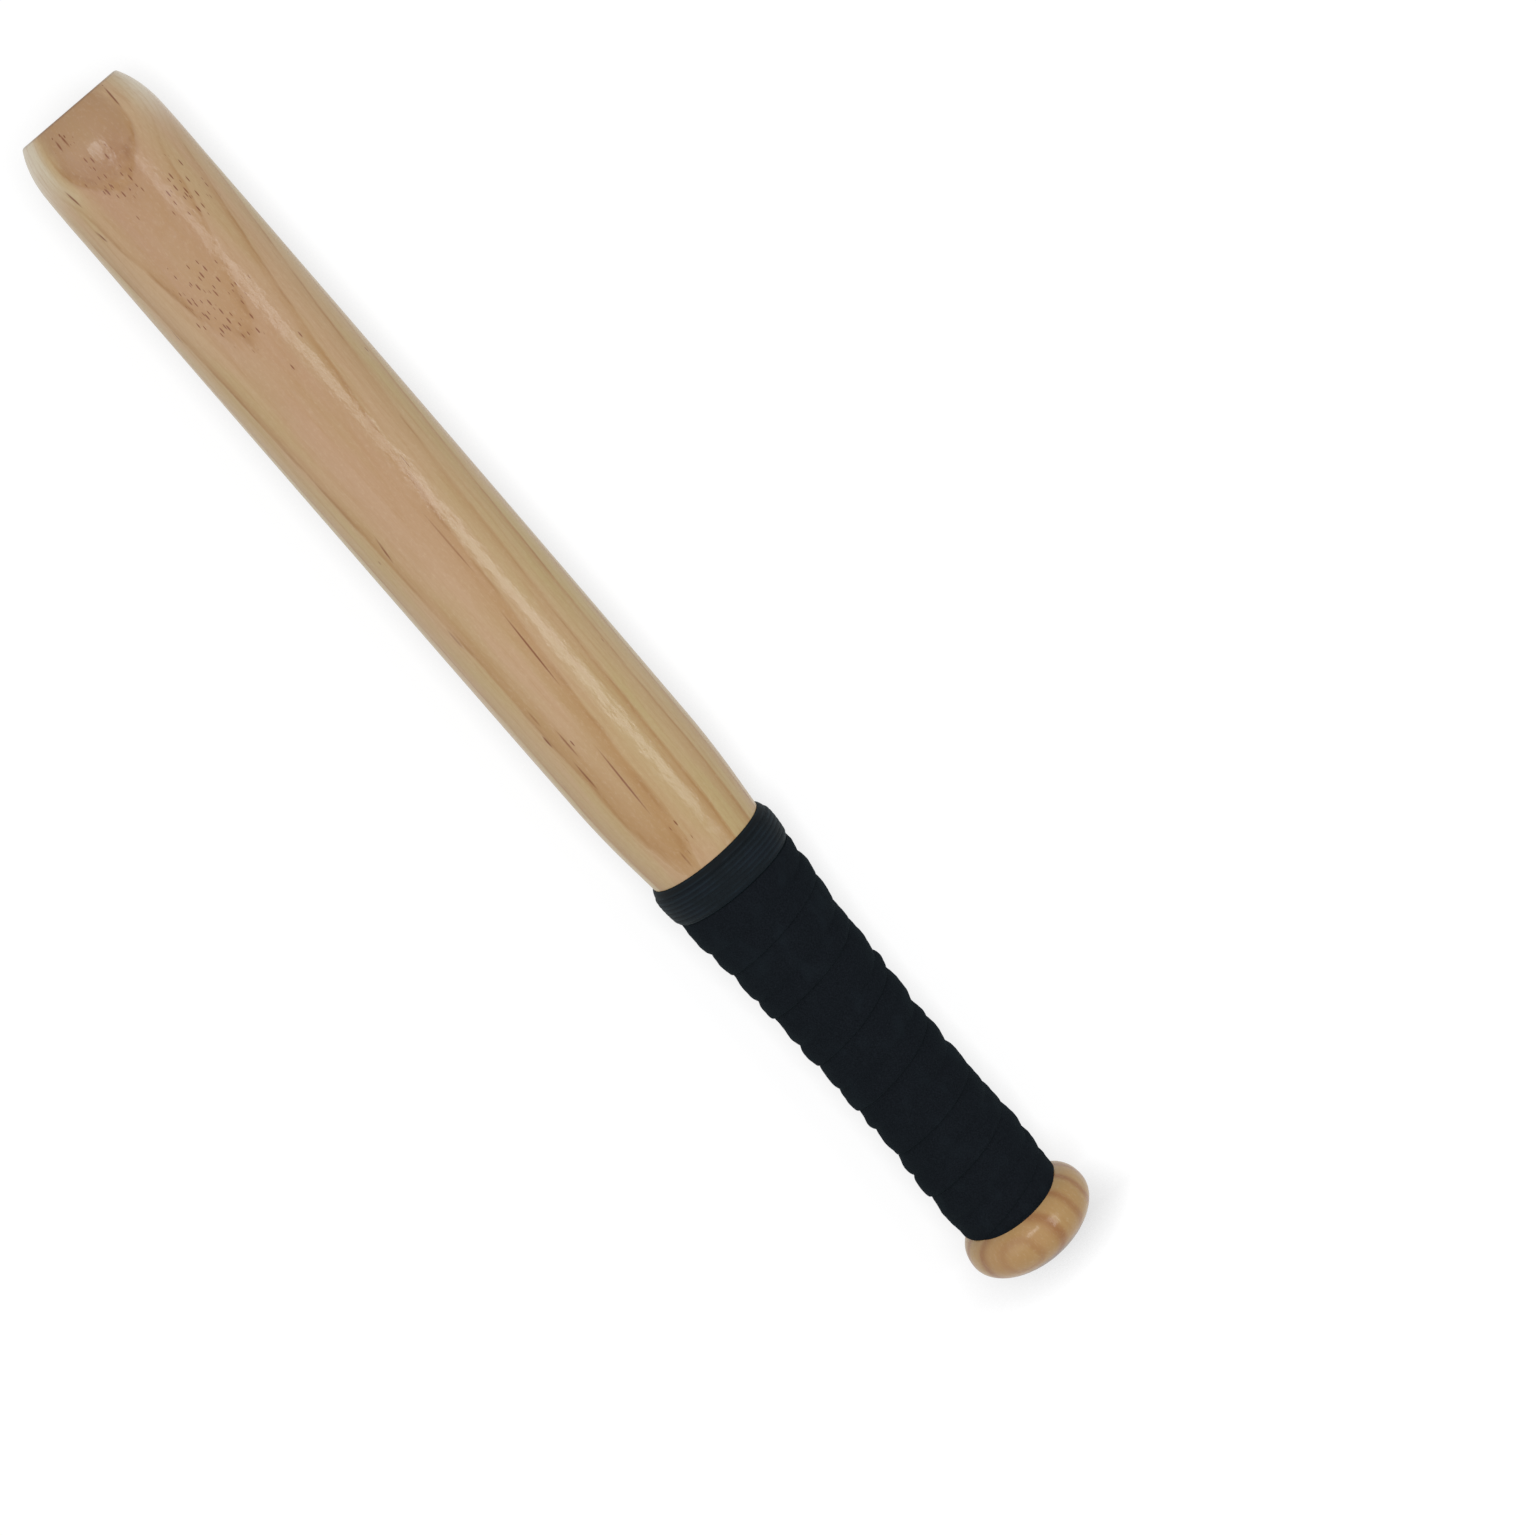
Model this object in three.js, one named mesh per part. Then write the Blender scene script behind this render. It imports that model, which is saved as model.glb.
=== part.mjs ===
import * as THREE from "three";
import { mergeVertices } from "three/addons/utils/BufferGeometryUtils.js";

// A wooden rounders bat with a wound cloth grip, lying on its side.
// Sizes are in millimetres and +Z is up. The tip points to -X and the knob to +X.

// Turned bat: stretches along the axis, from the tip to the knob's end
const shoulder_length = 17; // tip face to where its rounding meets the barrel
const belly_length = 188; // shoulder to the barrel's widest ring
const foot_length = 51; // widest ring to the start of the neck
const neck_length = 135.5; // start of the neck to the handle's thinnest ring
const handle_length = 45.5; // thinnest ring to the root of the knob
const flank_length = 9; // root of the knob to its widest ring
const dome_length = 11; // widest ring of the knob to its end face

// Turned bat: diameters, in the same order
const tip_face_diameter = 35.2;
const shoulder_diameter = 43.7;
const barrel_diameter = 44.8;
const foot_diameter = 44.6;
const waist_diameter = 30.2;
const root_diameter = 32.8;
const knob_diameter = 44.1;
const knob_face_diameter = 21.6;

// Grip: a ribbed elastic collar next to the bare wood, and cloth tape from there to the knob
const grip_length = 148.9; // collar's upper edge to the root of the knob
const collar_width = 13.2;
const collar_thickness = 1.95;
const hem_width = 2.4; // smooth rolled edge of the collar, towards the barrel
const rib_depth = 0.4;
const tape_width = 25.9;
const tape_thickness = 0.9;
const lap_clearance = 0.55; // between one turn of tape and the turn that laps over it
const seat_clearance = 0.3; // between the grip's pieces and what carries them
const rib_count = 6;

// Winding: one strip, wound from the knob towards the barrel in a right-handed helix
const steps_per_turn = 24;
const tape_steps = 188;
const tape_start_angle = THREE.MathUtils.degToRad(155); // from +Y towards the top
const wood_sides = 60;
const curve_steps = 6; // lines that stand for each curve of the outline
const bore_steps = 3; // rings along the collar's bore

// Where the control points of the bat's outline lie, as shares of the stretch they bend
const shoulder_bend_share = 0.4;
const belly_bend_share = 0.32;
const foot_bend_share = 0.6;
const neck_start_share = 0.188;
const neck_end_share = 0.556;
const handle_bend_share = 0.5;
const flank_bend_share = 0.26;

const rib_side_share = 1 / 3; // each slope of a rib, as a share of the rib's pitch

const shoulder_at = shoulder_length;
const belly_at = shoulder_at + belly_length;
const foot_at = belly_at + foot_length;
const waist_at = foot_at + neck_length;
const root_at = waist_at + handle_length;
const knob_at = root_at + flank_length;
const bat_length = knob_at + dome_length;
const collar_at = root_at - grip_length;
const axis_height = barrel_diameter / 2;

const wood = new THREE.MeshStandardMaterial({ color: 0xb4987a, roughness: 0.32, metalness: 0 });
const cloth = new THREE.MeshStandardMaterial({ color: 0x181c20, roughness: 0.95, metalness: 0 });
const elastic = new THREE.MeshStandardMaterial({ color: 0x222a2e, roughness: 0.75, metalness: 0 });

// Outline of the bare wood, as distance from the tip and radius
function bat_outline() {
  const outline = new THREE.Path();
  const barrel_radius = barrel_diameter / 2;
  const shoulder_radius = shoulder_diameter / 2;
  const foot_radius = foot_diameter / 2;
  const waist_radius = waist_diameter / 2;
  const knob_radius = knob_diameter / 2;
  outline.moveTo(0, 0);
  outline.lineTo(0, tip_face_diameter / 2);
  outline.quadraticCurveTo(shoulder_at * shoulder_bend_share, shoulder_radius, shoulder_at, shoulder_radius);
  outline.quadraticCurveTo(shoulder_at + belly_length * belly_bend_share, barrel_radius, belly_at, barrel_radius);
  outline.quadraticCurveTo(belly_at + foot_length * foot_bend_share, barrel_radius, foot_at, foot_radius);
  outline.bezierCurveTo(
    foot_at + neck_length * neck_start_share, foot_radius,
    waist_at - neck_length * neck_end_share, waist_radius,
    waist_at, waist_radius,
  );
  outline.quadraticCurveTo(waist_at + handle_length * handle_bend_share, waist_radius, root_at, root_diameter / 2);
  outline.quadraticCurveTo(root_at + flank_length * flank_bend_share, knob_radius, knob_at, knob_radius);
  const face_angle = Math.asin(knob_face_diameter / knob_diameter);
  const dome_reach = dome_length / Math.cos(face_angle);
  outline.absellipse(knob_at, 0, dome_reach, knob_radius, Math.PI / 2, face_angle, true);
  outline.lineTo(bat_length, 0);
  return outline.getPoints(curve_steps);
}

const wood_outline = bat_outline();

// Radius of the bare wood at a distance from the tip
function wood_radius(at) {
  const next = wood_outline.findIndex((point, i) => i > 0 && point.x > at);
  const [low, high] = [wood_outline[next - 1], wood_outline[next]];
  return THREE.MathUtils.mapLinear(at, low.x, high.x, low.y, high.y);
}

// A piece turned about the bat's axis. Its flats, one of them lowest, touch the true circle.
function turned(points) {
  const flat_reach = 1 / Math.cos(Math.PI / wood_sides);
  const profile = points.map((point) => new THREE.Vector2(point.y * flat_reach, point.x));
  const geometry = new THREE.LatheGeometry(profile, wood_sides, Math.PI / wood_sides);
  geometry.rotateZ(-Math.PI / 2);
  geometry.translate(-bat_length / 2, 0, axis_height);
  return welded(geometry);
}

function welded(geometry) {
  geometry.deleteAttribute("normal");
  geometry.deleteAttribute("uv");
  const merged = mergeVertices(geometry);
  merged.computeVertexNormals();
  return merged;
}

// Collar: its bore follows the wood, and round ribs stand out of its face past the smooth hem
function collar_geometry() {
  const face_radius = wood_radius(collar_at) + seat_clearance + collar_thickness;
  const rib_pitch = (collar_width - hem_width) / rib_count;
  const points = [
    new THREE.Vector2(collar_at, face_radius - rib_depth),
    new THREE.Vector2(collar_at + rib_depth, face_radius),
    new THREE.Vector2(collar_at + hem_width - rib_depth, face_radius),
  ];
  for (let rib = 0; rib < rib_count; rib += 1) {
    const rib_at = collar_at + hem_width + rib * rib_pitch;
    points.push(new THREE.Vector2(rib_at, face_radius - rib_depth));
    points.push(new THREE.Vector2(rib_at + rib_pitch * rib_side_share, face_radius));
    points.push(new THREE.Vector2(rib_at + rib_pitch * (1 - rib_side_share), face_radius));
  }
  points.push(new THREE.Vector2(collar_at + collar_width, face_radius - rib_depth));
  for (let step = bore_steps; step >= 0; step -= 1) {
    const bore_at = collar_at + (collar_width * step) / bore_steps;
    points.push(new THREE.Vector2(bore_at, wood_radius(bore_at) + seat_clearance));
  }
  points.push(points[0].clone());
  return turned(points);
}

// Tape: each turn starts on the wood at its barrel side and climbs to clear the turn it laps over.
// Both ends are trimmed along a ring, one at the knob and one at the collar.
const tape_top = collar_at + collar_width + seat_clearance;
const tape_bottom = root_at - seat_clearance;
const tape_turns = tape_steps / steps_per_turn;
const tape_pitch = (tape_bottom - tape_top - tape_width) / (tape_turns - 2);
const climb_per_turn = tape_thickness + lap_clearance;

// The strip's section after some turns, as six points of distance from the tip and radius
function tape_section(turn) {
  const strip_at = tape_bottom - (tape_width - tape_pitch) - tape_pitch * turn;
  const low = Math.max(tape_top, strip_at);
  const high = Math.min(tape_bottom, strip_at + tape_width);
  const crest = THREE.MathUtils.lerp(low, high, tape_pitch / tape_width);
  const climb_share = Math.min(1, turn);
  const under = [low, crest, high].map((at) => {
    const climb = (climb_per_turn * climb_share * (at - strip_at)) / tape_pitch;
    return new THREE.Vector2(at, wood_radius(at) + seat_clearance + climb);
  });
  const over = under.map((point) => new THREE.Vector2(point.x, point.y + tape_thickness));
  return [...under, ...over.reverse()];
}

function tape_geometry() {
  const flat_reach = 1 / Math.cos(Math.PI / steps_per_turn);
  const sides = tape_section(0).length;
  const positions = [];
  const faces = [];
  for (let step = 0; step <= tape_steps; step += 1) {
    const turn = step / steps_per_turn;
    const angle = tape_start_angle - 2 * Math.PI * turn;
    for (const point of tape_section(turn)) {
      const reach = point.y * flat_reach;
      const height = axis_height + reach * Math.sin(angle);
      positions.push(point.x - bat_length / 2, reach * Math.cos(angle), height);
    }
  }
  for (let step = 0; step < tape_steps; step += 1) {
    for (let side = 0; side < sides; side += 1) {
      const here = step * sides + side;
      const beside = step * sides + ((side + 1) % sides);
      faces.push(here, beside + sides, beside, here, here + sides, beside + sides);
    }
  }
  const last = tape_steps * sides;
  for (const [a, b, c] of [[0, 1, 5], [1, 4, 5], [1, 2, 4], [2, 3, 4]]) {
    faces.push(a, b, c, last + a, last + c, last + b);
  }
  const geometry = new THREE.BufferGeometry();
  geometry.setAttribute("position", new THREE.Float32BufferAttribute(positions, 3));
  geometry.setIndex(faces);
  geometry.computeVertexNormals();
  return geometry;
}

// Least distance between the strip's sections one turn apart, measured on points along their sides
function least_tape_gap() {
  const points_per_side = 60;
  const along = (section) => section.flatMap((point, i) => {
    const next = section[(i + 1) % section.length];
    return Array.from({ length: points_per_side }, (_, k) => point.clone().lerp(next, k / points_per_side));
  });
  let least = Infinity;
  for (let step = 0; step + steps_per_turn <= tape_steps; step += 1) {
    const inner_turn = along(tape_section(step / steps_per_turn));
    const outer_turn = along(tape_section(step / steps_per_turn + 1));
    for (const a of inner_turn) {
      for (const b of outer_turn) {
        least = Math.min(least, a.distanceTo(b));
      }
    }
  }
  return least;
}

console.log(`grip tape: least gap to itself ${least_tape_gap().toFixed(3)} mm, pitch ${tape_pitch.toFixed(2)} mm`);

function sub_part(name, geometry, material) {
  const mesh = new THREE.Mesh(geometry, material);
  mesh.name = name;
  return mesh;
}

const bat = new THREE.Group();
bat.add(sub_part("turned_bat", turned(wood_outline), wood));
bat.add(sub_part("grip_tape", tape_geometry(), cloth));
bat.add(sub_part("grip_collar", collar_geometry(), elastic));

export default bat;
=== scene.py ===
import math

import bmesh
import bpy
import numpy as np
from mathutils import Matrix, Vector


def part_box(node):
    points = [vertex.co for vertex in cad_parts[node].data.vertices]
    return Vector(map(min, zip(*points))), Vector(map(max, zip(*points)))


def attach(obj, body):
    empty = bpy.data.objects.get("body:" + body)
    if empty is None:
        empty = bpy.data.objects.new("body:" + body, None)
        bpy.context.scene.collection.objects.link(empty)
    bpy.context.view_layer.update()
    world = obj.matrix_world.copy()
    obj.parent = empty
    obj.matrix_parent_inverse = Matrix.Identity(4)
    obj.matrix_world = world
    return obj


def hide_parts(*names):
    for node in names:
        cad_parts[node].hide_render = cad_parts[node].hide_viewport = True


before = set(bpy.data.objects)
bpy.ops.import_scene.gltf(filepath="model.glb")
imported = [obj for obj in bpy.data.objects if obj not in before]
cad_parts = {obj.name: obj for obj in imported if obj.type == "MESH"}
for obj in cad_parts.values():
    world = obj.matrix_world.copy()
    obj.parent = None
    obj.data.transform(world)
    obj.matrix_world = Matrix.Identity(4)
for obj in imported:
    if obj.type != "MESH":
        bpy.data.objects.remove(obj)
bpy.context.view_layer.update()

# Camera: it stands straight above the bat's tip and looks down on the whole bat, which runs from the
# upper left of the picture to the lower right. Places are in metres, with the bat lying along X.
mm = 0.001
bat_low, bat_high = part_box("turned_bat")
axis_height = (bat_low.z + bat_high.z) / 2
tip_x = bat_low.x
camera_rise = 1261.75 * mm
aim_along = 282.5 * mm
aim_beside = 30.0 * mm
bat_slope = math.radians(49.49)
lens_length = 100
sensor_width = 36
near_limit = 10 * mm

camera_place = Vector((tip_x, 0, axis_height + camera_rise))
aim_place = Vector((tip_x + aim_along, aim_beside, axis_height))
forward = (aim_place - camera_place).normalized()
bat_way = Vector((1, 0, 0))
bat_way = (bat_way - forward * bat_way.dot(forward)).normalized()
picture_right = bat_way * math.cos(bat_slope) - forward.cross(bat_way) * math.sin(bat_slope)
picture_up = picture_right.cross(forward)

camera_data = bpy.data.cameras.new("camera")
camera_data.lens = lens_length
camera_data.sensor_width = sensor_width
camera_data.clip_start = near_limit
camera = bpy.data.objects.new("camera", camera_data)
camera.matrix_world = (
    Matrix.Translation(camera_place)
    @ Matrix((picture_right, picture_up, -forward)).transposed().to_4x4()
)
bpy.context.scene.collection.objects.link(camera)
bpy.context.scene.camera = camera
bpy.context.scene.view_settings.view_transform = "Standard"


# Floor: a plain white sheet under the bat. What the camera and the gloss see of it is mostly its own
# white, which dims close to the bat, so that its soft shadow hugs it. Past the knob the shadow is
# darker, reaches further and leans more to the side. The studio round the floor is white too.
floor_size = 8.0
floor_color = (222, 222, 224)
seen_glow = 0.91
side_glow = 0.5
knob_glow = 0.05
side_reach = 15 * mm
knob_reach = 26 * mm
knob_shadow_start = -6 * mm
knob_shadow_full = 8 * mm
shadow_lean = (-0.55, -0.16, 0.8)
knob_lean = -0.5
shadow_samples = 4
seen_shade = (96, 96, 97)
studio_light = 0.53
white = (1, 1, 1, 1)


def linear(color):
    """A colour as Blender works with it, from red, green and blue as a picture shows them, 0 to 255."""
    shares = [part / 255 for part in color]
    return [c / 12.92 if c <= 0.04045 else ((c + 0.055) / 1.055) ** 2.4 for c in shares] + [1.0]


class Finish:
    """The nodes of a material or of the studio. Each call adds one and returns its result's socket."""

    def __init__(self, owner):
        owner.use_nodes = True
        self.owner = owner
        self.tree = owner.node_tree
        self.tree.nodes.clear()

    def node(self, kind, inputs, result=0, **settings):
        made = self.tree.nodes.new("ShaderNode" + kind)
        for setting, value in settings.items():
            setattr(made, setting, value)
        for socket, value in inputs.items():
            if isinstance(value, bpy.types.NodeSocket):
                self.tree.links.new(value, made.inputs[socket])
            else:
                made.inputs[socket].default_value = value
        return made.outputs[result]

    def math(self, operation, *values):
        return self.node("Math", dict(enumerate(values)), operation=operation)

    def blend(self, share, first, second):
        """The first number where the share is 0, the second where it is 1."""
        return self.node("Mix", {"Factor": share, 2: first, 3: second}, data_type="FLOAT")

    def end(self, surface, output="OutputMaterial"):
        made = self.tree.nodes.new("ShaderNode" + output)
        self.tree.links.new(surface, made.inputs["Surface"])
        return self.owner


def seen_rays(finish):
    """1 for what the camera sees, straight, in a gloss or through glass, and 0 for the light itself."""
    kinds = ("Is Camera Ray", "Is Glossy Ray", "Is Transmission Ray")
    straight, gloss, glass = (finish.node("LightPath", {}, result=kind) for kind in kinds)
    return finish.math("MAXIMUM", straight, finish.math("MAXIMUM", gloss, glass))


paper = Finish(bpy.data.materials.new("white_paper"))
paper_along = paper.node("SeparateXYZ", {0: paper.node("TexCoord", {}, result="Object")})
past_knob = paper.node(
    "MapRange",
    {
        "Value": paper_along,
        "From Min": bat_high.x + knob_shadow_start,
        "From Max": bat_high.x + knob_shadow_full,
    },
)
shadow_reach = paper.blend(past_knob, side_reach, knob_reach)
lean_beside = paper.blend(past_knob, shadow_lean[1], knob_lean)
shadow_way = paper.node("CombineXYZ", {0: shadow_lean[0], 1: lean_beside, 2: shadow_lean[2]})
open_share = paper.node(
    "AmbientOcclusion",
    {"Distance": shadow_reach, "Normal": shadow_way},
    result="AO",
    samples=shadow_samples,
)
hidden_glow = paper.blend(past_knob, side_glow, knob_glow)
paper_glow = paper.blend(open_share, hidden_glow, seen_glow)
paper_white = paper.node("Emission", {"Color": white, "Strength": paper_glow})
paper_shade = paper.node("BsdfDiffuse", {"Color": linear(seen_shade)})
paper_seen = paper.node("AddShader", {0: paper_white, 1: paper_shade})
paper_lit = paper.node("BsdfDiffuse", {"Color": linear(floor_color)})
reach = floor_size / 2
floor_mesh = bpy.data.meshes.new("floor")
floor_mesh.from_pydata(
    [(-reach, -reach, 0), (reach, -reach, 0), (reach, reach, 0), (-reach, reach, 0)], [], [(0, 1, 2, 3)]
)
floor_mesh.materials.append(
    paper.end(paper.node("MixShader", {"Fac": seen_rays(paper), 1: paper_lit, 2: paper_seen}))
)
floor = bpy.data.objects.new("floor", floor_mesh)
bpy.context.scene.collection.objects.link(floor)

bpy.context.scene.world = bpy.data.worlds.new("studio")
studio = Finish(bpy.context.scene.world)
studio_strength = studio.blend(seen_rays(studio), studio_light, 1.0)
studio.end(
    studio.node("Background", {"Color": white, "Strength": studio_strength}), output="OutputWorld"
)


# Lamps: a long one beside the bat that draws the bright line along the lacquer, a faint broad one on
# the other side, and a small one high above the tip that makes its highlight. Sizes are (along the bat,
# across it) in metres, and leans are angles from straight up towards +Y.
lamp_distance = 1.6
line_along = 0.25
line_lean = 31.5
line_size = (0.9, 0.4)
line_radiance = 6.0
broad_along = -0.15
broad_lean = -42
broad_size = (1.4, 1.1)
broad_radiance = 1.2
tip_lamp_place = (tip_x - 0.38, -0.22, 2.4)
tip_lamp_size = (0.45, 0.9)
tip_lamp_radiance = 9.0


def soft_lamp(name, place, aim, size, radiance):
    """A rectangular lamp that looks as bright as its radiance, whatever its size."""
    data = bpy.data.lights.new(name, "AREA")
    data.shape = "RECTANGLE"
    data.size, data.size_y = size
    data.energy = radiance * math.pi * size[0] * size[1]
    lamp = bpy.data.objects.new(name, data)
    back = (Vector(place) - Vector(aim)).normalized()
    side = Vector((1, 0, 0))
    side = (side - back * side.dot(back)).normalized()
    lamp.matrix_world = (
        Matrix.Translation(place) @ Matrix((side, back.cross(side), back)).transposed().to_4x4()
    )
    bpy.context.scene.collection.objects.link(lamp)


def round_bat(lean, along):
    """A lamp's place round the bat's axis."""
    lean = math.radians(lean)
    return Vector(
        (along, lamp_distance * math.sin(lean), axis_height + lamp_distance * math.cos(lean))
    )


soft_lamp("line_lamp", round_bat(line_lean, line_along), (line_along, 0, 0), line_size, line_radiance)
soft_lamp(
    "broad_lamp", round_bat(broad_lean, broad_along), (broad_along, 0, 0), broad_size, broad_radiance
)
soft_lamp("tip_lamp", tip_lamp_place, (tip_x, 0, 0), tip_lamp_size, tip_lamp_radiance)


# Turned bat: one length of pale hardwood, turned on a lathe from the tip to the knob, sanded and
# dipped in clear gloss lacquer. Its smooth surface runs through the rings of the CAD node.
node_sides = 60
bat_sides = 240
least_corner = math.radians(25)
edge_round = 1.5 * mm
ring_turn = math.radians(3)
ring_gap = 2.0 * mm
span_steps = 40
fine_step = 0.1 * mm
soften_points = 15
micrometre_digits = 6
weld_distance = 0.002 * mm


def node_outline(node, sides):
    """A turned node's outline as (distance from the tip, radius): its flats touch the true circle."""
    true_share = math.cos(math.pi / sides)
    places = np.array([vertex.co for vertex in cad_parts[node].data.vertices])
    radii = np.hypot(places[:, 1], places[:, 2] - axis_height) * true_share
    rings = np.column_stack([places[:, 0] - tip_x, radii])
    rings = np.unique(np.round(rings, micrometre_digits), axis=0)
    last = rings[:, 0] > rings[-1, 0] - fine_step
    return np.vstack([rings[~last], rings[last][::-1]])


def smooth_outline(points):
    """A smooth curve through the points that keeps their sharp corners and their outer limits."""
    gaps = np.linalg.norm(np.diff(points, axis=0), axis=1)[:, None]
    ways = np.diff(points, axis=0) / gaps
    turns = np.arccos(np.clip((ways[1:] * ways[:-1]).sum(1), -1, 1))
    bends = (gaps[1:] * ways[:-1] + gaps[:-1] * ways[1:]) / (gaps[1:] + gaps[:-1])
    slopes = np.vstack([ways[:1], bends, ways[-1:]])
    sharp = np.concatenate([[True], turns > least_corner, [True]])
    curve = []
    for i, way in enumerate(ways):
        start, end = slopes[i], slopes[i + 1]
        if sharp[i]:
            start = way if sharp[i + 1] else 2 * way - end
        if sharp[i + 1]:
            end = way if sharp[i] else 2 * way - slopes[i]
        t = np.linspace(0, 1, span_steps, endpoint=False)[:, None]
        curve.append(
            (2 * t**3 - 3 * t**2 + 1) * points[i]
            + (t**3 - 2 * t**2 + t) * gaps[i] * start
            + (3 * t**2 - 2 * t**3) * points[i + 1]
            + (t**3 - t**2) * gaps[i] * end
        )
    return np.clip(np.vstack([*curve, points[-1:]]), points.min(axis=0), points.max(axis=0))


def soften(outline, width):
    """The outline with its corners rounded as by sandpaper, and its rings spaced to suit its bends."""
    run = np.concatenate([[0], np.cumsum(np.linalg.norm(np.diff(outline, axis=0), axis=1))])
    at = np.arange(0, run[-1], fine_step)
    reach = np.minimum(width / 2, np.minimum(at, run[-1] - at))
    softened = np.zeros((len(at), 2))
    for share in np.linspace(-1, 1, soften_points):
        softened[:, 0] += np.interp(at + share * reach, run, outline[:, 0]) / soften_points
        softened[:, 1] += np.interp(at + share * reach, run, outline[:, 1]) / soften_points
    kept = [softened[0]]
    turned, gone = 0.0, 0.0
    for before, here, after in zip(softened, softened[1:], softened[2:]):
        into, out = here - before, after - here
        turned += abs(math.atan2(into[0] * out[1] - into[1] * out[0], into @ out))
        gone += np.linalg.norm(into)
        if turned > ring_turn or gone > ring_gap:
            kept.append(here)
            turned, gone = 0.0, 0.0
    return np.vstack([kept, outline[-1:]])


def made_mesh(name, places, faces):
    """A new object of these points and faces, welded, with its faces outwards and shaded smooth."""
    mesh = bpy.data.meshes.new(name)
    mesh.from_pydata(places, [], faces)
    tidied = bmesh.new()
    tidied.from_mesh(mesh)
    bmesh.ops.remove_doubles(tidied, verts=tidied.verts, dist=weld_distance)
    bmesh.ops.recalc_face_normals(tidied, faces=tidied.faces)
    tidied.to_mesh(mesh)
    tidied.free()
    mesh.shade_smooth()
    made = bpy.data.objects.new(name, mesh)
    bpy.context.scene.collection.objects.link(made)
    return made


def around_axis(at, radius, angle):
    """A point of the scene at a distance from the tip, a radius and an angle from +Y upwards."""
    return tip_x + at, radius * math.cos(angle), axis_height + radius * math.sin(angle)


def turned_mesh(name, outline, sides, closed=False):
    """A mesh turned round the bat's axis, from an outline that starts and ends on it or is closed."""
    angles = np.arange(sides) * 2 * math.pi / sides
    places = [around_axis(at, radius, angle) for at, radius in outline for angle in angles]
    rings = len(outline)
    faces = []
    for ring in range(rings if closed else rings - 1):
        here, further = ring * sides, (ring + 1) % rings * sides
        for side in range(sides):
            beyond = (side + 1) % sides
            faces.append((here + side, further + side, further + beyond, here + beyond))
    return made_mesh(name, places, faces)


wood_outline = soften(smooth_outline(node_outline("turned_bat", node_sides)), edge_round)
bat = turned_mesh("turned_bat_wood", wood_outline, bat_sides)


def in_millimetres(finish, origin):
    """The place on the piece in millimetres from an origin, which is given in metres."""
    return finish.node(
        "VectorMath",
        {
            0: finish.node("TexCoord", {}, result="Object"),
            1: (1 / mm,) * 3,
            2: [-part / mm for part in origin],
        },
        operation="MULTIPLY_ADD",
    )


def stretched(finish, place, sizes):
    """The place in steps of these sizes, so that a pattern of unit grain gets them."""
    return finish.node("VectorMath", {0: place, 1: [1 / size for size in sizes]}, operation="MULTIPLY")


def noise(finish, place, sizes, detail=2.0, roughness=0.5, result="Fac"):
    """Soft random patches, about as long, wide and high as the sizes, in millimetres."""
    return finish.node(
        "TexNoise",
        {
            "Vector": stretched(finish, place, sizes),
            "Scale": 1.0,
            "Detail": detail,
            "Roughness": roughness,
        },
        result=result,
    )


def between(finish, value, low, high, to_low=0.0, to_high=1.0):
    """The value moved softly from low..high to to_low..to_high, and kept there."""
    return finish.node(
        "MapRange",
        {"Value": value, "From Min": low, "From Max": high, "To Min": to_low, "To Max": to_high},
        interpolation_type="SMOOTHSTEP",
    )


def mixed(finish, share, first, second):
    """The first colour where the share is 0, the second where it is 1."""
    return finish.node("Mix", {"Factor": share, 6: first, 7: second}, result=2, data_type="RGBA")


def product(finish, value, *others):
    for other in others:
        value = finish.math("MULTIPLY", value, other)
    return value


def largest(finish, value, *others):
    for other in others:
        value = finish.math("MAXIMUM", value, other)
    return value


def length(finish, way):
    return finish.node("VectorMath", {0: way}, result="Value", operation="LENGTH")


# The wood's pattern is worked out in millimetres from the middle of the tip's face. The log's heart
# runs above the bat, nearest to it at the tip, and the year rings lie round it.
heart_above = 74.0
heart_dip = 20.4
dip_length = 48.0
neck_stretch = (245, 300)
neck_dip = 1.25
knob_stretch = (445, 456)
knob_dip = 3.0
shoulder_stretches = ((3, 13, -0.45), (15, 26, 1.0), (28, 40, -0.55))
shoulder_swell = 2.2
heart_beside = -33.7
heart_swing = 33.1
swing_length = 145.7
wander_sizes = (60, 12, 12)
wander_reach = 1.6
ragged_sizes = (9, 1.6, 1.6)
ragged_reach = 0.09
first_ring = 42.15
ring_width = 8.2
rings_before = 10
fine_rings = 3.3

wood = Finish(bpy.data.materials.new("lacquered_wood"))
bat_place = in_millimetres(wood, (tip_x, 0, axis_height))
from_tip, beside, above = (wood.node("SeparateXYZ", {0: bat_place}, result=part) for part in range(3))
upper_side = between(wood, above, 0, 6)
past_end = between(wood, from_tip, 5, 17)
knob_here = between(wood, from_tip, 425, 440)


def fading(run):
    """1 at the tip, falling away along the bat over this run."""
    return wood.math("EXPONENT", wood.math("DIVIDE", from_tip, -run))


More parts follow.
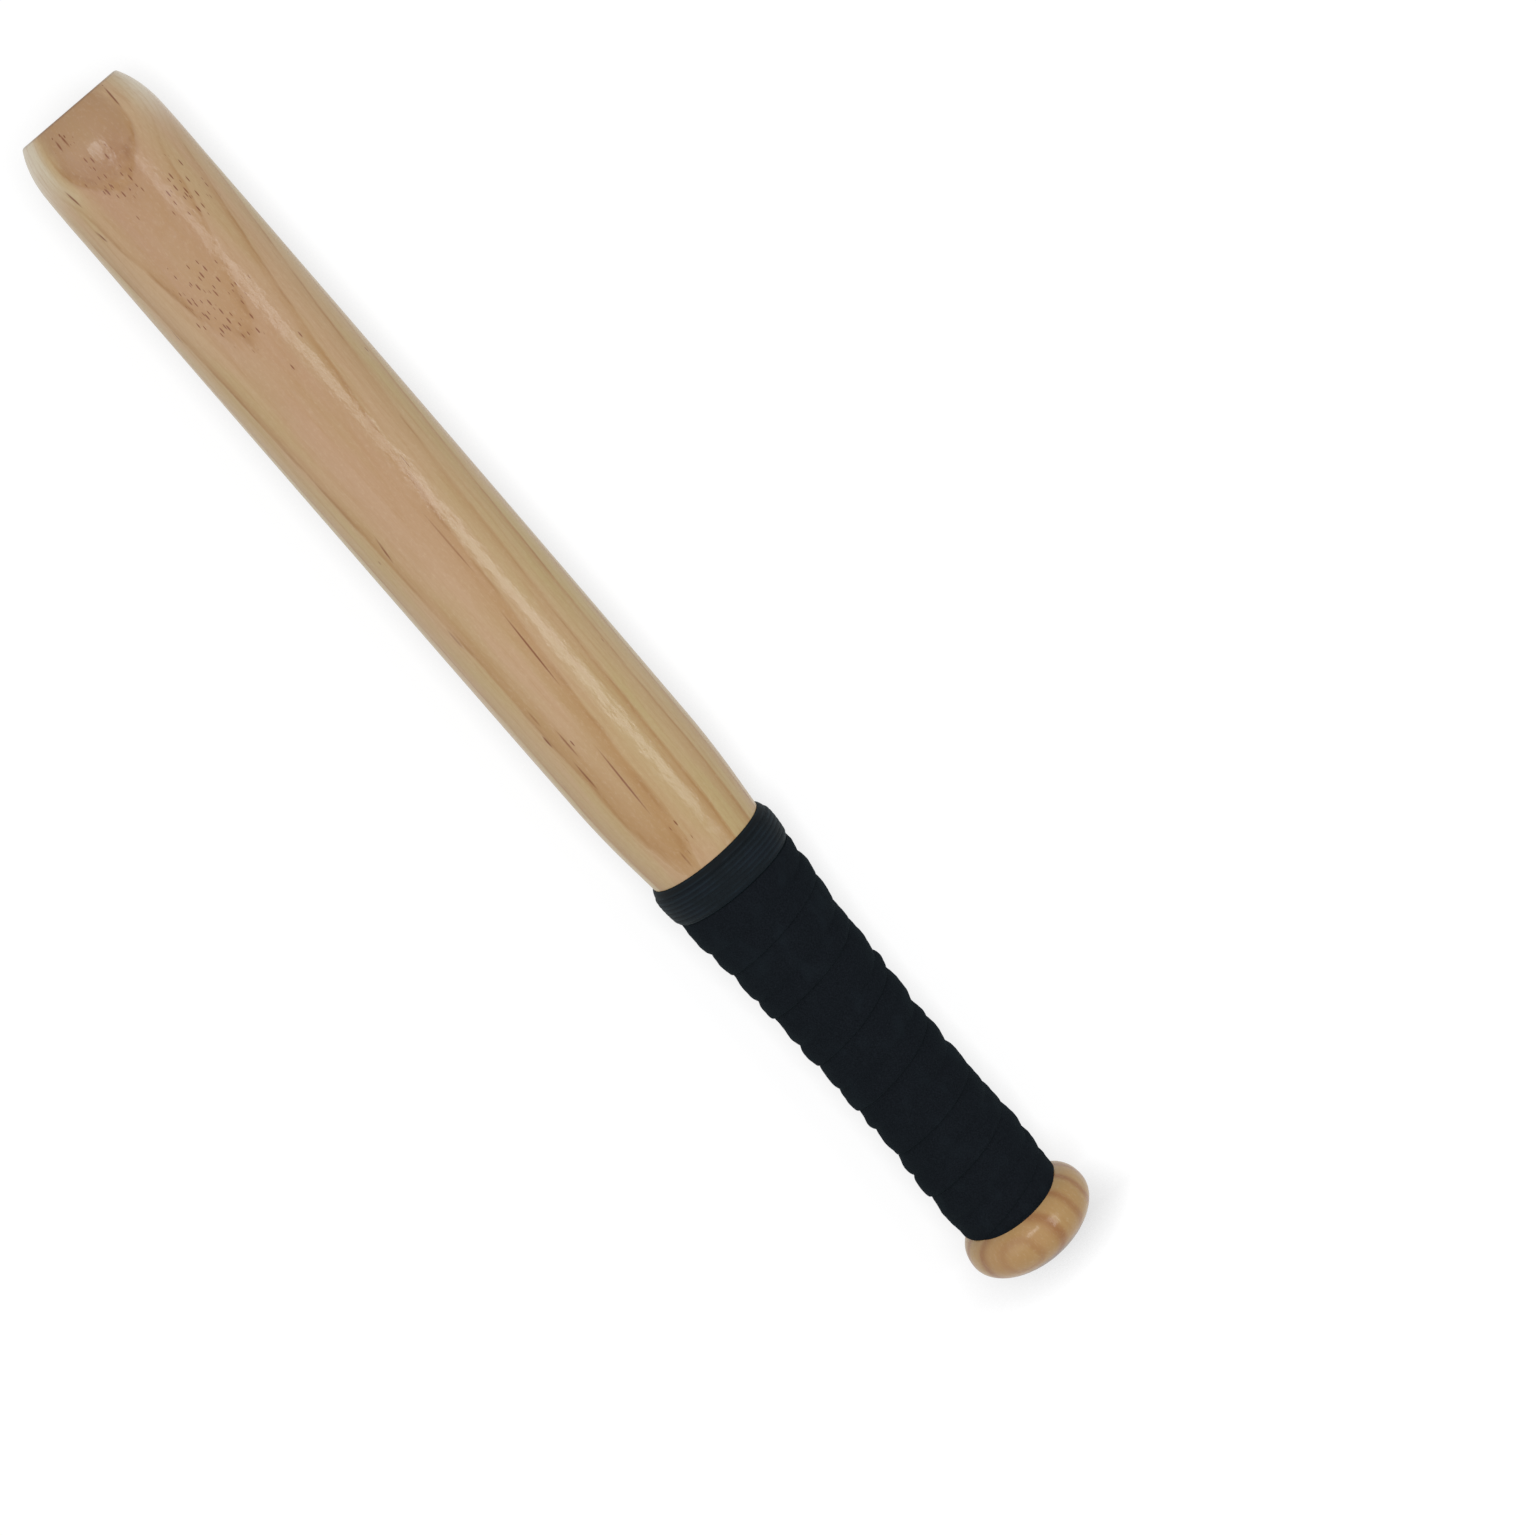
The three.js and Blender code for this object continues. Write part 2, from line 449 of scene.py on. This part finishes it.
heart_rise = wood.math("MULTIPLY_ADD", between(wood, from_tip, *neck_stretch), -neck_dip, heart_above)
heart_rise = wood.math("MULTIPLY_ADD", fading(dip_length), -heart_dip, heart_rise)
heart_rise = wood.math("MULTIPLY_ADD", between(wood, from_tip, *knob_stretch), -knob_dip, heart_rise)
for start, end, share in shoulder_stretches:
    swell = between(wood, from_tip, start, end)
    heart_rise = wood.math("MULTIPLY_ADD", swell, share * shoulder_swell, heart_rise)
heart_side = wood.math("MULTIPLY_ADD", fading(swing_length), heart_swing, heart_beside)
heart_place = wood.node("CombineXYZ", {0: from_tip, 1: heart_side, 2: heart_rise})
wander = wood.node(
    "VectorMath",
    {
        0: noise(wood, bat_place, wander_sizes, result="Color"),
        1: (0, wander_reach, wander_reach),
        2: (0, -wander_reach / 2, -wander_reach / 2),
    },
    operation="MULTIPLY_ADD",
)
heart_way = wood.node("VectorMath", {0: bat_place, 1: heart_place}, operation="SUBTRACT")
heart_way = wood.node("VectorMath", {0: heart_way, 1: wander}, operation="ADD")
heart_distance = length(wood, heart_way)

# Each ring darkens slowly outwards to a thin line, where the next one starts pale. Near the tip only
# the line round the heart shows, and at the knob none does. Finer rings lie between the lines.
ragged = noise(wood, bat_place, ragged_sizes, detail=3.0, roughness=0.6)
rings = wood.math("DIVIDE", wood.math("SUBTRACT", heart_distance, first_ring), ring_width)
rings = wood.math("MULTIPLY_ADD", wood.math("SUBTRACT", ragged, 0.5), ragged_reach, rings)
ring_count = wood.math("ADD", rings, rings_before)
ring_share = wood.math("FRACT", ring_count)
heart_line = product(wood, between(wood, rings, 0.0, 0.1, 1.0, 0.0), past_end)
ring_edge = product(
    wood,
    between(wood, ring_share, 0.9, 1.0, 1.0, 0.0),
    largest(wood, between(wood, from_tip, 14, 45, 0.1, 1.0), heart_line),
    wood.math("SUBTRACT", 1.0, knob_here),
)
late_wood = wood.math(
    "ADD",
    between(wood, ring_share, 0.3, 0.95, 0.0, 0.5),
    between(wood, ring_share, 0.66, 0.93, 0.0, 0.5),
)
fine_share = wood.math("FRACT", product(wood, ring_count, fine_rings))
fine_line = product(
    wood, between(wood, fine_share, 0.5, 0.85), between(wood, fine_share, 0.85, 1.0, 1.0, 0.0)
)

pale = linear((187, 157, 122))
straw = linear((181, 160, 113))
late = linear((164, 125, 80))
line_brown = linear((142, 100, 58))
heart_brown = linear((138, 96, 64))
# Pale wood at the tip's shoulders, with a painted glint.
tip_pale_and_glint = linear((212, 204, 182))
inner_brown = linear((156, 110, 80))
amber = linear((160, 119, 62))
knob_brown = linear((138, 86, 44))
# End grain, and painted shade at the knob's far rim.
end_brown_and_shade = linear((90, 56, 36))
fleck_white = linear((205, 182, 152))
pore_brown = linear((110, 52, 24))
heart_unevenness = 0.8
heart_margin = 0.4
heart_strength = 0.5
neck_strength = 0.45
knob_strength = 0.68
pore_strength = 0.8

# Noises that make the pattern uneven, from the largest patches to the finest flecks.
patch = noise(wood, bat_place, (55, 10, 10))
streak = noise(wood, bat_place, (70, 2.0, 2.0))
broken = noise(wood, bat_place, (22, 2.5, 2.5))
blotch = noise(wood, bat_place, (10, 6, 6), detail=3.0)
fibre = noise(wood, bat_place, (12, 0.4, 0.4), detail=3.0, roughness=0.65)
fleck = noise(wood, bat_place, (1.6, 0.8, 0.8), roughness=0.6)

# Far from the heart the sapwood is straw coloured, and the tip's shoulders are pale.
sapwood = wood.math(
    "ADD",
    between(wood, heart_distance, 52, 74, 0.1, 0.9),
    between(wood, patch, 0.35, 0.65, -0.35, 0.35),
)
sapwood = wood.node("Clamp", {"Value": sapwood})
# The pale at the shoulders is partly the wood's own tone and partly a painted glint of the bright
# floor.
pale_tip_and_glint = product(
    wood,
    between(wood, from_tip, 6, 26, 0.75, 0.0),
    between(wood, rings, 0.0, 0.5),
    largest(wood, between(wood, beside, -10, -5, 1.0, 0.0), between(wood, beside, 14, 20, 0.15, 1.0)),
)

# Along the middle of the upper side the wood is browner, most of all in the barrel's first half.
inner_run = wood.math(
    "ADD", between(wood, from_tip, 25, 75, 0.17, 0.0), between(wood, from_tip, 90, 230, 0.42, 0.14)
)
inner_band = product(
    wood,
    between(wood, beside, -15, -9),
    between(wood, beside, 2, 13, 1.0, 0.25),
    inner_run,
    between(wood, from_tip, 7, 20),
    upper_side,
)

# The heart shows at the tip as a blotchy stain, darker at its rim.
heart_rings = wood.math("SUBTRACT", rings, heart_margin)
heart_rings = wood.math("MULTIPLY_ADD", blotch, heart_unevenness, heart_rings)
heart_edge = wood.blend(
    past_end,
    between(wood, heart_rings, -0.45, 0.1, 1.0, 0.0),
    between(wood, heart_rings, -0.2, 0.14, 1.0, 0.0),
)
heart_rim = product(wood, between(wood, heart_rings, -0.55, -0.1), past_end)
heart_stain = wood.math(
    "MULTIPLY_ADD", heart_rim, between(wood, blotch, 0.4, 0.6, -0.15, 0.5), heart_strength
)

# The neck and the knob are warmer, and the rings cross the knob as soft brown bands and an oval.
neck_warmth = product(
    wood,
    between(wood, from_tip, 225, 285),
    between(wood, ring_share, 0.3, 0.95, 0.1, 0.8),
    neck_strength,
)
knob_band = product(
    wood, between(wood, ring_share, 0.28, 0.58), between(wood, ring_share, 0.6, 0.84, 1.0, 0.0)
)
knob_oval = product(
    wood, between(wood, rings, 1.88, 1.97), between(wood, rings, 1.97, 2.12, 0.5, 0.0)
)
# The ends darken as end grain; at the knob's far rim the dark brown is also painted shade.
end_grain_and_shade = wood.math(
    "ADD", between(wood, from_tip, 452.6, 455.6, 0.0, 0.7), between(wood, from_tip, 0.0, 0.8, 0.4, 0.0)
)

# The colours are laid over each other in this order, each by its share.
tone = pale
for share, color in (
    (sapwood, straw),
    (pale_tip_and_glint, tip_pale_and_glint),
    (inner_band, inner_brown),
    (product(wood, heart_stain, heart_edge), heart_brown),
    (product(wood, late_wood, ring_edge, between(wood, patch, 0.3, 0.65, 0.35, 0.85)), late),
    (
        product(
            wood,
            between(wood, ring_share, 0.82, 0.93),
            ring_edge,
            between(wood, broken, 0.4, 0.62, 0.0, 0.55),
        ),
        line_brown,
    ),
    (product(wood, fine_line, between(wood, broken, 0.45, 0.7, 0.18, 0.0)), late),
    (between(wood, streak, 0.5, 0.75, 0.0, 0.28), late),
    (largest(wood, neck_warmth, product(wood, knob_here, knob_strength)), amber),
    (
        product(
            wood,
            knob_here,
            between(wood, patch, 0.3, 0.65, 0.5, 0.8),
            largest(wood, knob_band, knob_oval),
        ),
        knob_brown,
    ),
    (between(wood, fibre, 0.42, 0.72, 0.0, 0.2), late),
    (between(wood, fleck, 0.5, 0.8, 0.0, 0.14), late),
    (between(wood, fleck, 0.2, 0.5, 0.16, 0.0), fleck_white),
    (end_grain_and_shade, end_brown_and_shade),
):
    tone = mixed(wood, share, tone, color)


# Dark pores: crowded in a few ovals near the tip, long ones along the lines between the rings, and
# some that are drawn one by one, as (from the tip, beside the axis), half their length and their slope.
pore_half_width = 0.4
pore_ovals = (((7, -7.4), (5, 3)), ((22, -3), (9, 9)), ((39, 11), (13, 6)), ((69, -4), (18, 9)))
single_pores = (
    ((5, 11.8), 5, 0.0),
    ((6, -6.7), 3, 0.0),
    ((6, -8.9), 2.5, -0.08),
    ((20, -15.8), 4, 0.12),
    ((33, -16.8), 3, 0.15),
    ((154, -14.4), 6, -0.1),
    ((164, 1.3), 14, 0.0),
    ((188, -15.8), 5, 0.0),
    ((204, -0.8), 17, -0.038),
    ((221, -13.6), 4, 0.0),
    ((229, -15.1), 3, 0.0),
    ((233, -11.0), 7, 0.0),
    ((244, -13.1), 7, 0.0),
    ((252, -5.6), 16, -0.033),
    ((283, -6.8), 4, 0.0),
)


def dashes(sizes, width, share, shift):
    """Pores strewn along the grain. Each has this room, and the share is how many rooms hold one."""
    shifted = wood.node("VectorMath", {0: bat_place, 1: (shift,) * 3}, operation="ADD")
    cells = wood.tree.nodes.new("ShaderNodeTexVoronoi")
    cells.inputs["Scale"].default_value = 1.0
    wood.tree.links.new(stretched(wood, shifted, sizes), cells.inputs["Vector"])
    room = wood.node("SeparateColor", {"Color": cells.outputs["Color"]})
    return product(
        wood,
        wood.math("LESS_THAN", room, share),
        between(wood, cells.outputs["Distance"], width / 2, width, 1.0, 0.0),
    )


def cluster(middle, half_size):
    """1 in the middle of an oval on the bat's upper side, falling to 0 at its rim."""
    way = wood.node(
        "VectorMath",
        {
            0: wood.node("CombineXYZ", {0: from_tip, 1: beside}),
            1: (1 / half_size[0], 1 / half_size[1], 0),
            2: (-middle[0] / half_size[0], -middle[1] / half_size[1], 0),
        },
        operation="MULTIPLY_ADD",
    )
    return between(wood, length(wood, way), 0.6, 1.2, 1.0, 0.0)


def single_pore(middle, half_length, slope):
    """One long thin pore on the upper side, sloping across the grain."""
    along = wood.math("MULTIPLY_ADD", from_tip, 1 / half_length, -middle[0] / half_length)
    rise = wood.math("MULTIPLY_ADD", from_tip, -slope, slope * middle[0] - middle[1])
    off = wood.math("DIVIDE", wood.math("ADD", rise, beside), pore_half_width)
    way = wood.node("CombineXYZ", {0: along, 1: off})
    return between(wood, length(wood, way), 0.3, 1.0, 1.0, 0.0)


crowd = largest(wood, 0.0, *(cluster(middle, half_size) for middle, half_size in pore_ovals))
crowd = product(wood, crowd, upper_side)
line_room = largest(
    wood, between(wood, ring_share, 0.7, 0.9), between(wood, ring_share, 0.0, 0.1, 1.0, 0.0)
)
drawn_pores = product(
    wood,
    largest(wood, 0.0, *(single_pore(*pore) for pore in single_pores)),
    upper_side,
    between(wood, broken, 0.3, 0.6, 0.45, 1.0),
)
short_share = wood.math("MULTIPLY_ADD", crowd, 0.75, 0.008)
pores = largest(
    wood,
    dashes((5.5, 1.15, 1.15), width=0.27, share=short_share, shift=3.0),
    dashes((4, 0.8, 0.8), width=0.26, share=product(wood, crowd, 0.6), shift=17.0),
    dashes((36, 1.4, 1.4), width=0.17, share=product(wood, line_room, 0.3), shift=11.0),
    drawn_pores,
)
tone = mixed(wood, product(wood, pores, pore_strength), tone, pore_brown)

# The lacquer's gloss is slightly rippled, while the wood under it keeps a dull sheen.
ripple_depth = 0.18 * mm
lacquer_ripple = noise(wood, bat_place, (5.0, 2.2, 2.2))
lacquer_surface = wood.node("Bump", {"Distance": ripple_depth, "Height": lacquer_ripple})
bat.data.materials.append(
    wood.end(
        wood.node(
            "BsdfPrincipled",
            {
                "Base Color": tone,
                "Roughness": 0.5,
                "Specular IOR Level": 0.15,
                "Coat Weight": 0.5,
                "Coat Roughness": 0.2,
                "Coat IOR": 1.5,
                "Coat Normal": lacquer_surface,
            },
        )
    )
)
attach(bat, "root")
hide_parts("turned_bat")


# Grip tape: one strip of dark napped cloth, wound from the knob towards the barrel. Each turn laps over
# the one before, so that its edge towards the knob is free, and the cloth puffs up between the laps.
tape_low, tape_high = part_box("grip_tape")
collar_tuck = 0.28 * mm
knob_climb = 1.8 * mm
side_slack = 2.2 * mm
tape_top = tape_low.x - tip_x - collar_tuck
tape_bottom = tape_high.x - tip_x + knob_climb
tape_width = 25.9 * mm
tape_pitch = 18.75 * mm
node_steps = 188
node_steps_per_turn = 24
tape_turns = node_steps / node_steps_per_turn
tape_start = math.radians(155)
knob_edge_start = tape_high.x - tip_x + tape_pitch
steps_per_turn = 96
steps_across = 64

# No hand winds quite evenly. Each wave along the strip is (height, rate per turn, shift). The edge's
# heights are in millimetres, and those of the puffs are shares of a puff.
edge_waves = ((1.5, 1.21, -2.904), (0.5, 4.1, 0.6))
single_waves = ((0.28, 7.3, 1.1), (0.16, 17.7, 0.0))
double_waves = ((0.25, 9.1, 2.6), (0.16, 23.3, 0.0))
barrel_swing = 0.9 * mm
start_cover = 1.6 * mm
start_turns = 0.12
crumple_height = 0.08 * mm

# Heights over the wood. From its edge towards the barrel a turn climbs under the next one's lap, puffs
# up where it is single, dips to a groove, and puffs up again where it lies over the turn before.
cloth_thickness = 0.9 * mm
least_cloth = 0.12 * mm
edge_radius = 0.45 * mm
seat_gap = 0.05 * mm
tucked_height = 1.15 * mm
groove_height = 1.8 * mm
tucked_step = 0.12 * mm
inner_climb = 0.75 * mm
lap_gap = 0.07 * mm
puff_height = 1.02 * mm
puff_roundness = 0.7
single_sag = 0.9
double_share = 0.72
double_sag = 0.12
double_lean = 0.9
first_lap = 0.85
unlapped_run = 1.0 * mm
collar_lap = 1.5 * mm
least_run = 0.1 * mm

# In places the cloth lies a little thicker on the side that faces -Y, above all near the knob.
lean_places = np.array([300, 340, 360, 400, 420, 425, 436]) * mm
lean_heights = np.array([-0.1, 0.08, 0.2, 0.0, -0.1, 0.45, 0.3]) * mm

# Towards the knob the winding is pulled tighter, down to half its height. Past the handle's end that
# height is still taken from the handle, and not from the knob's flank.
tight_places = np.array([408, 416, 421, 424.5, 427.5, 431.4, 433.4, 435.4, 438]) * mm
tight_shares = np.array([1.0, 1.08, 1.1, 0.92, 0.8, 0.72, 0.62, 0.56, 0.5])
handle_end = 436.5 * mm


def wood_radius(at):
    return np.interp(at, wood_outline[:, 0], wood_outline[:, 1])


def waved(turn, waves):
    return sum(height * np.sin(turn * rate + shift) for height, rate, shift in waves)


def edge_line(turn):
    """Distance from the tip to where the strip's free edge is aimed."""
    wander = waved(turn, edge_waves) * mm * np.clip(turn - 1, 0, 1)
    return knob_edge_start - tape_pitch * turn + wander


def knob_edge(turn):
    """The strip's free edge. It reaches further where it covers the strip's own start."""
    return edge_line(turn) + start_cover * np.exp(-(((turn - 1) / start_turns) ** 2))


def barrel_edge(turn):
    """The strip's other edge, which the next turn hides."""
    swing = np.cos(2 * math.pi * turn - tape_start) - 1
    return edge_line(turn) - tape_width + barrel_swing * swing


def puffed(share, lean):
    """A puff's rise from 0 to 1 and back. With more lean its far side falls more steeply."""
    return np.sin(math.pi * np.clip(share, 0, 1) ** lean) ** puff_roundness


def relief(turn, across):
    """Height of the cloth's outer and inner side over the wood, at a place across the strip."""
    angle = tape_start - 2 * math.pi * turn
    below = np.clip(-math.cos(angle), 0, 1)
    at = barrel_edge(turn) + across
    width = knob_edge(turn) - barrel_edge(turn)
    layered = np.clip((turn - first_lap) / (1 - first_lap), 0, 1)
    groove = barrel_edge(turn - 1) - barrel_edge(turn)
    groove = groove * layered + (width + unlapped_run) * (1 - layered)
    lap_start = knob_edge(turn + 1) - barrel_edge(turn)
    if turn > tape_turns - 1:
        lap_start = max(least_run, tape_top - barrel_edge(turn) - collar_lap)
    tucked = np.clip(across / lap_start, 0, 1)
    single = np.clip((across - lap_start) / (groove - lap_start), 0, 1)
    double = np.clip((across - groove) / np.maximum(width - groove, least_run), 0, 1)
    single_puff = puff_height * (1 + waved(turn, single_waves))
    double_puff = puff_height * (1 + waved(turn, double_waves))
    outer = np.where(
        across < lap_start,
        tucked_height + (groove_height - tucked_step - tucked_height) * tucked,
        np.where(
            across < groove,
            groove_height + single_puff * puffed(single, 1 + single_sag * below),
            groove_height
            + double_puff * puffed(double * (double_share + double_sag * below), double_lean),
        ),
    )
    inner = np.where(
        across < groove,
        seat_gap + inner_climb * across / groove,
        tucked_height + lap_gap + cloth_thickness * double,
    )
    return at, outer, inner


def crumple(at, angle):
    """Small unevenness of the cloth and its lean to one side, the same for all layers at a place."""
    x = at / mm
    waves = (
        np.sin(x * 0.83 + 2.1 * np.sin(angle * 3 + 0.4))
        + np.sin(x * 0.47 + angle * 5 + 1.3)
        + 0.4 * np.sin(x * 1.37 - angle * 7 + 0.5)
        + 0.3 * np.sin(x * 2.3 + angle * 11)
    )
    return crumple_height * waves - np.interp(at, lean_places, lean_heights) * math.cos(angle)


def strip_section(turn):
    """The strip's closed section after some turns: distances from the tip and radii."""
    angle = tape_start - 2 * math.pi * turn
    low = max(tape_top, barrel_edge(turn))
    high = min(tape_bottom - side_slack * (1 - max(0, math.sin(angle))), knob_edge(turn))
    even = np.linspace(0, 1, steps_across)
    crowded = (1 - np.cos(math.pi * even)) / 2
    across = low + (high - low) * (even + crowded) / 2 - barrel_edge(turn)
    at, outer, inner = relief(turn, across)
    tight = np.interp(at, tight_places, tight_shares)
    base = wood_radius(np.minimum(at, handle_end))
    uneven = crumple(at, angle)
    lapped = inner > tucked_height
    inner = np.maximum(base + inner * tight + uneven * lapped, wood_radius(at) + seat_gap)
    outer = np.maximum(base + outer * tight + uneven, wood_radius(at) + least_cloth)
    outer = np.maximum(outer, inner + (least_cloth - seat_gap))
    edge = np.minimum(at - low, high - at)
    round_share = np.sqrt(1 - (1 - np.clip(edge / edge_radius, 0, 1)) ** 2)
    middle = (outer + inner) / 2
    outer = middle + (outer - middle) * round_share
    inner = middle + (inner - middle) * round_share
    return np.concatenate([at, at[::-1]]), np.concatenate([outer, inner[::-1]])


def strip_mesh(name):
    places, faces = [], []
    steps = round(tape_turns * steps_per_turn)
    sides = 2 * steps_across
    for step in range(steps + 1):
        turn = step / steps_per_turn
        angle = tape_start - 2 * math.pi * turn
        places += [around_axis(at, radius, angle) for at, radius in zip(*strip_section(turn))]
    for step in range(steps):
        for side in range(sides):
            a, b = step * sides + side, step * sides + (side + 1) % sides
            faces.append((a, b, b + sides, a + sides))
    last = steps * sides
    for k in range(steps_across - 1):
        faces.append((k, k + 1, sides - 2 - k, sides - 1 - k))
        faces.append((last + k, last + sides - 1 - k, last + sides - 2 - k, last + k + 1))
    return made_mesh(name, places, faces)


tape = strip_mesh("wound_tape")

# The cloth is nearly black, with a short nap that catches a little light and a few worn places.
cloth_dark = linear((17, 20, 24))
cloth_light = linear((27, 31, 36))
cloth_worn = linear((29, 36, 41))
sheen_tint = linear((120, 170, 175))
nap_depth = 0.25 * mm

cloth = Finish(bpy.data.materials.new("grip_cloth"))
cloth_place = in_millimetres(cloth, (0, 0, 0))
nap = noise(cloth, cloth_place, (0.5, 0.5, 0.5), detail=4.0, roughness=0.7)
worn = noise(cloth, cloth_place, (11, 8, 8), detail=3.0)
cloth_tone = mixed(cloth, between(cloth, nap, 0.3, 0.75), cloth_dark, cloth_light)
cloth_tone = mixed(cloth, between(cloth, worn, 0.5, 0.75, 0.0, 0.35), cloth_tone, cloth_worn)
tape.data.materials.append(
    cloth.end(
        cloth.node(
            "BsdfPrincipled",
            {
                "Base Color": cloth_tone,
                "Roughness": 0.95,
                "Specular IOR Level": 0.02,
                "Sheen Weight": 0.03,
                "Sheen Roughness": 0.5,
                "Sheen Tint": sheen_tint,
                "Normal": cloth.node("Bump", {"Strength": 0.5, "Distance": nap_depth, "Height": nap}),
            },
        )
    )
)
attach(tape, "root")
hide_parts("grip_tape")


# Collar: a sewn ring of ribbed elastic next to the bare wood. Its edge towards the barrel is a rolled
# hem, and six fine ridges run round it from there to the tape.
collar_low, collar_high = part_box("grip_collar")
collar_at = collar_low.x - tip_x
collar_end = collar_high.x - tip_x
rib_count = 6
rib_depth = 0.2 * mm
hem_width = 2.6 * mm
rib_run = 9.6 * mm
hem_groove = 0.3 * mm
groove_width = 0.35 * mm
collar_steps = 160

# The outer side's radius, at distances from the collar's edge towards the barrel.
bulge_at = np.array([0, 0.35, 1.0, 1.8, 3.0, 4.3, 5.6, 7.5, 9.3, 11.0, 12.2, 12.9, 13.2]) * mm
bulge_radius = mm * np.array(
    [20.5, 21.0, 21.4, 21.72, 22.12, 22.34, 22.4, 22.34, 22.2, 22.0, 21.75, 21.5, 21.2]
)


def collar_outline():
    along = np.linspace(0, collar_end - collar_at, collar_steps)
    curve = smooth_outline(np.column_stack([bulge_at, bulge_radius]))
    face = np.interp(along, curve[:, 0], curve[:, 1])
    rib = np.clip((along - hem_width) / rib_run, 0, 1) * rib_count
    face = face - rib_depth * (1 - np.abs(np.sin(math.pi * rib))) ** 2
    face = face - hem_groove * np.exp(-(((along - hem_width) / groove_width) ** 2))
    at = collar_at + along
    bore = wood_radius(at) + seat_gap
    return np.column_stack([np.append(at, at[::-1]), np.append(face, bore[::-1])])


collar = turned_mesh("ribbed_collar", collar_outline(), bat_sides, closed=True)

# The elastic is woven of dark threads, with painted shade on its hem and painted highlight on its ribs.
elastic_dark = linear((10, 16, 20))
elastic_light = linear((18, 26, 31))
elastic_blue = linear((19, 25, 34))
hem_shade = linear((13, 17, 20))
rib_highlight = linear((27, 41, 49))
thread_depth = 0.12 * mm

elastic = Finish(bpy.data.materials.new("collar_elastic"))
elastic_place = in_millimetres(elastic, (collar_low.x, 0, 0))
past_edge = elastic.node("SeparateXYZ", {0: elastic_place})
thread = noise(elastic, elastic_place, (0.6, 0.25, 0.25), detail=3.0, roughness=0.6)
tint = noise(elastic, elastic_place, (5, 6, 6))
rib_wave = elastic.math("SINE", product(elastic, past_edge, 2 * math.pi * rib_count * mm / rib_run))
elastic_tone = elastic_dark
for share, color in (
    (between(elastic, thread, 0.35, 0.7), elastic_light),
    (between(elastic, tint, 0.45, 0.7, 0.0, 0.4), elastic_blue),
    # Painted shade: the hem next to the wood is darkened.
    (between(elastic, past_edge, 2.2, 2.9, 0.75, 0.0), hem_shade),
    # Painted highlight: one flank of each rib is paler.
    (
        product(
            elastic, between(elastic, rib_wave, 0.2, 1.0, 0.0, 0.4), between(elastic, tint, 0.3, 0.6)
        ),
        rib_highlight,
    ),
):
    elastic_tone = mixed(elastic, share, elastic_tone, color)
collar.data.materials.append(
    elastic.end(
        elastic.node(
            "BsdfPrincipled",
            {
                "Base Color": elastic_tone,
                "Roughness": 0.7,
                "Specular IOR Level": 0.1,
                "Sheen Weight": 0.04,
                "Sheen Roughness": 0.4,
                "Sheen Tint": sheen_tint,
                "Normal": elastic.node(
                    "Bump", {"Strength": 0.4, "Distance": thread_depth, "Height": thread}
                ),
            },
        )
    )
)
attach(collar, "root")
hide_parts("grip_collar")
